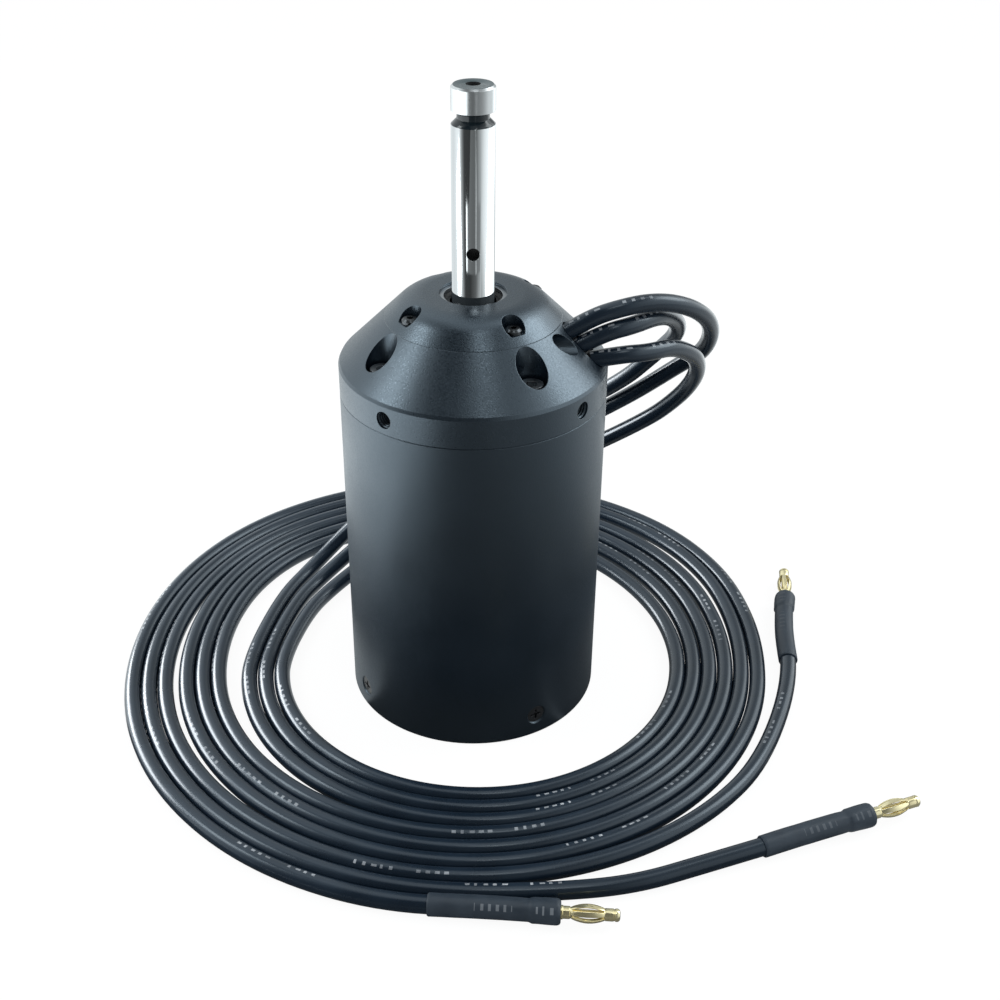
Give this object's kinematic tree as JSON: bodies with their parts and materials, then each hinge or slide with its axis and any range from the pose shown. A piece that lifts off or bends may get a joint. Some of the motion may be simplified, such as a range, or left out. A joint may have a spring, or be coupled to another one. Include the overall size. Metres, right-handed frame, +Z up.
{
  "type": "brushless inrunner motor",
  "caption": "Brushless inrunner motor with a black can, conical nose, plain steel shaft with a cross hole, and long coiled phase leads ending in gold bullet plugs.",
  "frame": {"origin": "centre of the can's flat base, on the shaft's axis", "axes": "+Z up along the shaft; -Y to the side that the picture is taken from; +X to the leads"},
  "size_m": [0.2043, 0.1904, 0.1596],
  "materials": {
    "black_anodised": "satin black anodised aluminium",
    "ground_steel": "ground and polished steel",
    "screw_steel": "plated steel",
    "spring_steel": "phosphated spring steel",
    "bearing_steel": "ground bearing steel",
    "cage_plastic": "moulded nylon",
    "lamination_steel": "oxide coated lamination stack",
    "insulator": "sheet insulation",
    "enamelled_copper": "enamelled copper wire",
    "bare_copper": "stranded bare copper",
    "core_steel": "turned steel",
    "magnet": "nickel plated magnet",
    "carbon_band": "wound carbon band",
    "balance_brass": "turned brass",
    "seal_rubber": "moulded rubber",
    "lead_silicone": "soft silicone insulation",
    "shrink_tube": "heat shrunk tube",
    "gold_plate": "gold plated brass"
  },
  "bodies": {
    "root": {"motor_can": "black_anodised", "nose_flange": "black_anodised", "bearing_cap": "black_anodised", "front_end_plate": "black_anodised", "rear_cover": "black_anodised", "lead_gland": "seal_rubber", "lead_conductors": "bare_copper", "flange_screws": "spring_steel", "cap_screws": "screw_steel", "foot_screws": "spring_steel", "stator_core": "lamination_steel", "end_insulators": "insulator", "winding_phase_a": "enamelled_copper", "winding_phase_b": "enamelled_copper", "winding_phase_c": "enamelled_copper", "preload_washer": "spring_steel", "shaft_seal": "seal_rubber", "seal_circlip": "spring_steel", "front_bearing_outer_ring": "bearing_steel", "rear_bearing_outer_ring": "bearing_steel", "front_bearing_shields": "screw_steel", "rear_bearing_shields": "screw_steel", "lead_a": "lead_silicone", "lead_b": "lead_silicone", "lead_c": "lead_silicone", "lead_tail_b": "lead_silicone", "lead_coil": "lead_silicone", "lead_sleeve_a": "shrink_tube", "lead_sleeve_b": "shrink_tube", "lead_sleeve_c": "shrink_tube", "bullet_connector_a": "gold_plate", "bullet_connector_b": "gold_plate", "bullet_connector_c": "gold_plate"},
    "rotor": {"shaft": "ground_steel", "rotor_core": "core_steel", "magnets": "magnet", "rotor_sleeve": "carbon_band", "balance_rings": "balance_brass", "shaft_circlip": "spring_steel", "front_bearing_inner_ring": "bearing_steel", "rear_bearing_inner_ring": "bearing_steel"},
    "front_cage": {"front_bearing_balls": "bearing_steel", "front_bearing_cage": "cage_plastic"},
    "rear_cage": {"rear_bearing_balls": "bearing_steel", "rear_bearing_cage": "cage_plastic"}
  },
  "joints": [
    {"name": "rotor_spin", "type": "hinge", "parent": "root", "child": "rotor", "pos_m": [0, 0, 0.0555], "axis": [0, 0, 1], "continuous": true},
    {"name": "front_cage_orbit", "type": "hinge", "parent": "root", "child": "front_cage", "pos_m": [0, 0, 0.1014], "axis": [0, 0, 1], "continuous": true},
    {"name": "rear_cage_orbit", "type": "hinge", "parent": "root", "child": "rear_cage", "pos_m": [0, 0, 0.0081], "axis": [0, 0, 1], "continuous": true}
  ],
  "couplings": [
    {"joint": "front_cage_orbit", "follows": "rotor_spin", "ratio": 0.38095},
    {"joint": "rear_cage_orbit", "follows": "rotor_spin", "ratio": 0.38095}
  ]
}
